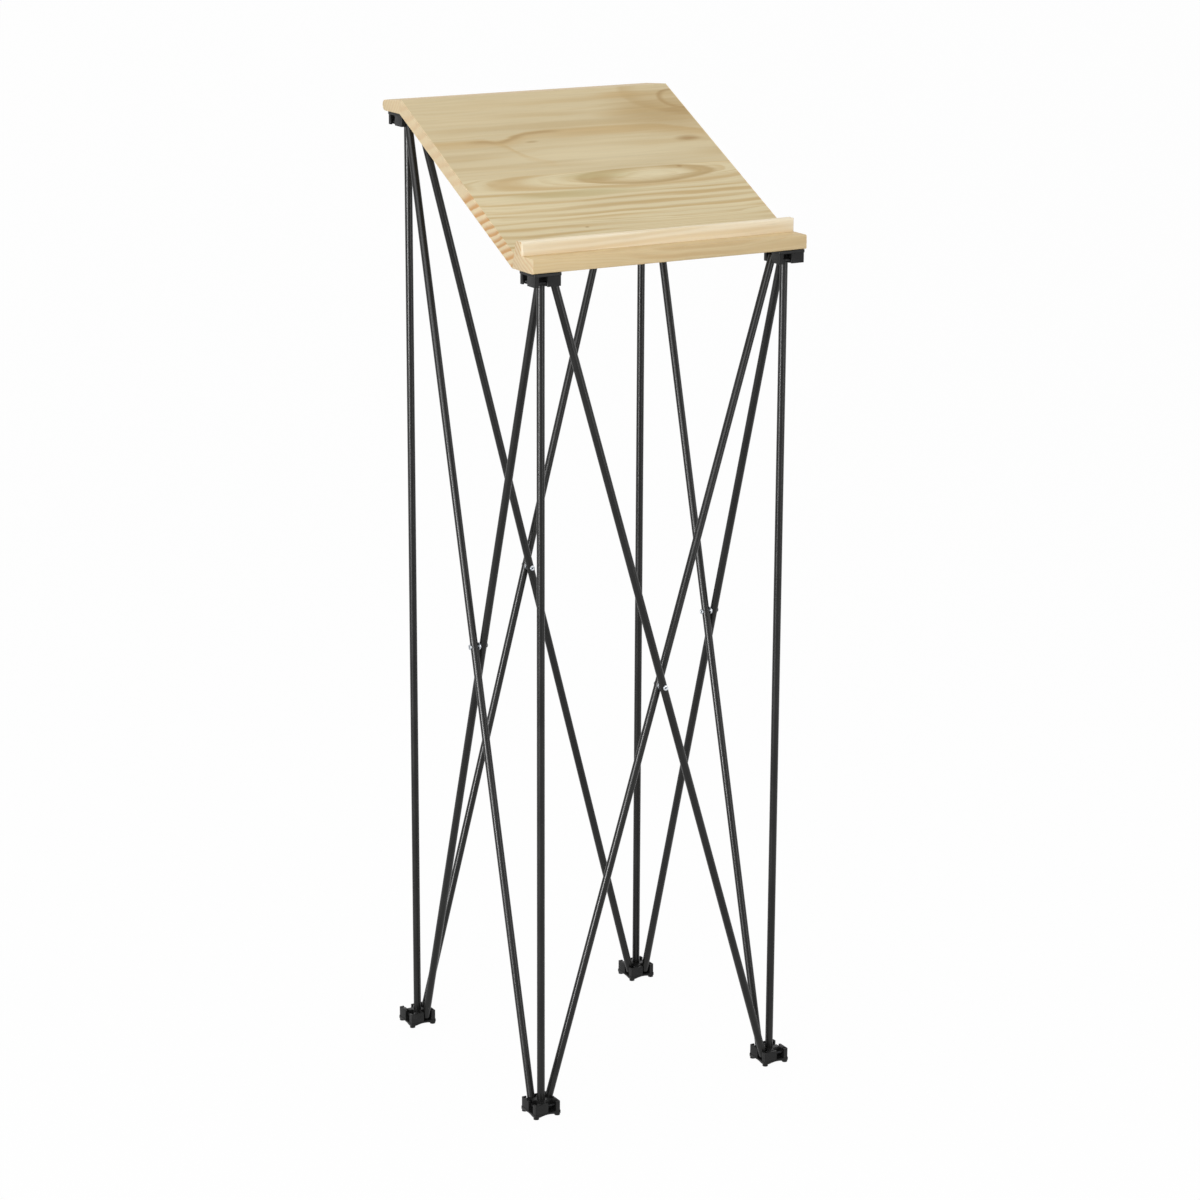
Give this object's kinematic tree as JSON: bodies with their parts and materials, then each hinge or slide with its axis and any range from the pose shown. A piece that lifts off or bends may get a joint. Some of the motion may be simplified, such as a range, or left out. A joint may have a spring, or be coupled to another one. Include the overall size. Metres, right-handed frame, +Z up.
{
  "type": "portable lectern",
  "caption": "Standing lectern whose slanted pine tray with a paper lip lifts off a square folding scissor frame of thin black tubes on moulded hubs.",
  "frame": {"origin": "on the floor, under the middle of the whole lectern", "axes": "+Z up, +X to the reader's right, the reader stands on the -Y side and looks towards +Y"},
  "size_m": [0.37, 0.3758, 1.1974],
  "materials": {
    "hub_plastic": "black moulded nylon, fine satin texture",
    "cap_plastic": "black moulded plastic, satin",
    "tube_paint": "steel tube, black powder coat, satin",
    "pin_steel": "steel wire, blackened",
    "rivet_steel": "zinc-plated steel, bright",
    "guide_steel": "turned steel",
    "magnet_nickel": "nickel-plated magnet",
    "zinc_steel": "zinc-plated steel",
    "beech": "beech, turned, glued in",
    "pine_upper": "pine, planed and waxed, flat-sawn grain",
    "pine_lower": "pine, planed and waxed, straight grain",
    "pine_rail": "pine, planed and waxed",
    "pine_batten": "pine, planed and waxed",
    "pine_lip": "pine, planed and waxed, pale"
  },
  "bodies": {
    "back_left_leg": {"foot_back_left": "hub_plastic", "leg_back_left": "tube_paint", "foot_pins_back_left": "pin_steel"},
    "back_left_hub": {"hub_back_left": "hub_plastic", "hub_pins_back_left": "pin_steel", "guide_back_left": "guide_steel", "magnet_back_left": "magnet_nickel"},
    "back_right_leg": {"foot_back_right": "hub_plastic", "leg_back_right": "tube_paint", "foot_pins_back_right": "pin_steel"},
    "back_right_hub": {"hub_back_right": "hub_plastic", "hub_pins_back_right": "pin_steel", "guide_back_right": "guide_steel", "magnet_back_right": "magnet_nickel"},
    "front_left_leg": {"foot_front_left": "hub_plastic", "leg_front_left": "tube_paint", "foot_pins_front_left": "pin_steel"},
    "front_left_hub": {"hub_front_left": "hub_plastic", "hub_pins_front_left": "pin_steel", "guide_front_left": "guide_steel", "magnet_front_left": "magnet_nickel"},
    "front_right_leg": {"foot_front_right": "hub_plastic", "leg_front_right": "tube_paint", "foot_pins_front_right": "pin_steel"},
    "front_right_hub": {"hub_front_right": "hub_plastic", "hub_pins_front_right": "pin_steel", "guide_front_right": "guide_steel", "magnet_front_right": "magnet_nickel"},
    "left_inner_rod": {"rod_left_inner": "tube_paint", "caps_left_inner": "cap_plastic", "rivet_left": "rivet_steel"},
    "left_outer_rod": {"rod_left_outer": "tube_paint", "caps_left_outer": "cap_plastic", "free_pin_left_outer": "pin_steel"},
    "front_outer_rod": {"rod_front_outer": "tube_paint", "caps_front_outer": "cap_plastic", "rivet_front": "rivet_steel"},
    "front_inner_rod": {"rod_front_inner": "tube_paint", "caps_front_inner": "cap_plastic"},
    "right_outer_rod": {"rod_right_outer": "tube_paint", "caps_right_outer": "cap_plastic", "rivet_right": "rivet_steel"},
    "right_inner_rod": {"rod_right_inner": "tube_paint", "caps_right_inner": "cap_plastic", "free_pin_right_inner": "pin_steel"},
    "back_inner_rod": {"rod_back_inner": "tube_paint", "caps_back_inner": "cap_plastic", "rivet_back": "rivet_steel", "free_pin_back_inner": "pin_steel"},
    "back_outer_rod": {"rod_back_outer": "tube_paint", "caps_back_outer": "cap_plastic", "free_pins_back_outer": "pin_steel"},
    "tray": {"upper_board": "pine_upper", "lower_board": "pine_lower", "front_rail": "pine_rail", "back_batten": "pine_batten", "lip": "pine_lip", "lip_dowels": "beech", "strike_plates": "zinc_steel", "plate_screws": "zinc_steel"}
  },
  "joints": [
    {"name": "frame_fold", "type": "hinge", "parent": "back_left_leg", "child": "left_inner_rod", "pos_m": [-0.159, 0.14666, 0.0134], "axis": [-1, 0, 0], "range_deg": [0, 15.97]},
    {"name": "front_left_hub_turn", "type": "hinge", "parent": "left_inner_rod", "child": "front_left_hub", "pos_m": [-0.159, -0.15654, 1.0248], "axis": [1, 0, 0], "range_deg": [0, 15.97]},
    {"name": "left_crossing", "type": "hinge", "parent": "left_inner_rod", "child": "left_outer_rod", "pos_m": [-0.159, -0.01504, 0.55279], "axis": [1, 0, 0], "range_deg": [0, 30.04]},
    {"name": "back_left_hub_turn", "type": "hinge", "parent": "left_outer_rod", "child": "back_left_hub", "pos_m": [-0.171, 0.14666, 1.16916], "axis": [-1, 0, 0], "range_deg": [0, 14.07]},
    {"name": "front_outer_rod_turn", "type": "hinge", "parent": "front_left_hub", "child": "front_outer_rod", "pos_m": [-0.1516, -0.17594, 1.0248], "axis": [0, 1, 0], "range_deg": [0, 15.97]},
    {"name": "front_right_foot_turn", "type": "hinge", "parent": "front_outer_rod", "child": "front_right_leg", "pos_m": [0.1516, -0.17594, 0.0134], "axis": [0, -1, 0], "range_deg": [0, 15.97]},
    {"name": "front_crossing", "type": "hinge", "parent": "front_outer_rod", "child": "front_inner_rod", "pos_m": [0, -0.17594, 0.5191], "axis": [0, -1, 0], "range_deg": [0, 31.95]},
    {"name": "front_left_foot_turn", "type": "hinge", "parent": "front_inner_rod", "child": "front_left_leg", "pos_m": [-0.1516, -0.16394, 0.0134], "axis": [0, 1, 0], "range_deg": [0, 15.97]},
    {"name": "front_right_hub_turn", "type": "hinge", "parent": "front_inner_rod", "child": "front_right_hub", "pos_m": [0.1516, -0.16394, 1.0248], "axis": [0, 1, 0], "range_deg": [0, 15.97]},
    {"name": "right_outer_rod_turn", "type": "hinge", "parent": "front_right_hub", "child": "right_outer_rod", "pos_m": [0.171, -0.15654, 1.0248], "axis": [-1, 0, 0], "range_deg": [0, 15.97]},
    {"name": "back_right_foot_turn", "type": "hinge", "parent": "right_outer_rod", "child": "back_right_leg", "pos_m": [0.171, 0.14666, 0.0134], "axis": [1, 0, 0], "range_deg": [0, 15.97]},
    {"name": "right_crossing", "type": "hinge", "parent": "right_outer_rod", "child": "right_inner_rod", "pos_m": [0.171, -0.01504, 0.55279], "axis": [1, 0, 0], "range_deg": [0, 30.04]},
    {"name": "back_right_hub_turn", "type": "hinge", "parent": "right_inner_rod", "child": "back_right_hub", "pos_m": [0.159, 0.14666, 1.16916], "axis": [-1, 0, 0], "range_deg": [0, 14.07]},
    {"name": "back_inner_rod_turn", "type": "hinge", "parent": "back_left_hub", "child": "back_inner_rod", "pos_m": [-0.1516, 0.15406, 1.16916], "axis": [0, 1, 0], "range_deg": [0, 14.07]},
    {"name": "back_crossing", "type": "hinge", "parent": "back_inner_rod", "child": "back_outer_rod", "pos_m": [0, 0.15406, 0.59128], "axis": [0, -1, 0], "range_deg": [0, 28.14]},
    {"name": "tray_lift", "type": "slide", "parent": "back_left_hub", "child": "tray", "axis": [0, 0, 1], "range_m": [0, 0.3]}
  ],
  "couplings": [
    {"joint": "front_left_hub_turn", "follows": "frame_fold", "ratio": 1},
    {"joint": "left_crossing", "follows": "frame_fold", "ratio": 1.8807},
    {"joint": "back_left_hub_turn", "follows": "frame_fold", "ratio": 0.88074},
    {"joint": "front_outer_rod_turn", "follows": "frame_fold", "ratio": 1},
    {"joint": "front_right_foot_turn", "follows": "frame_fold", "ratio": 1},
    {"joint": "front_crossing", "follows": "frame_fold", "ratio": 2},
    {"joint": "front_left_foot_turn", "follows": "frame_fold", "ratio": 1},
    {"joint": "front_right_hub_turn", "follows": "frame_fold", "ratio": 1},
    {"joint": "right_outer_rod_turn", "follows": "frame_fold", "ratio": 1},
    {"joint": "back_right_foot_turn", "follows": "frame_fold", "ratio": 1},
    {"joint": "right_crossing", "follows": "frame_fold", "ratio": 1.8807},
    {"joint": "back_right_hub_turn", "follows": "frame_fold", "ratio": 0.88074},
    {"joint": "back_inner_rod_turn", "follows": "frame_fold", "ratio": 0.88074},
    {"joint": "back_crossing", "follows": "frame_fold", "ratio": 1.7615}
  ]
}
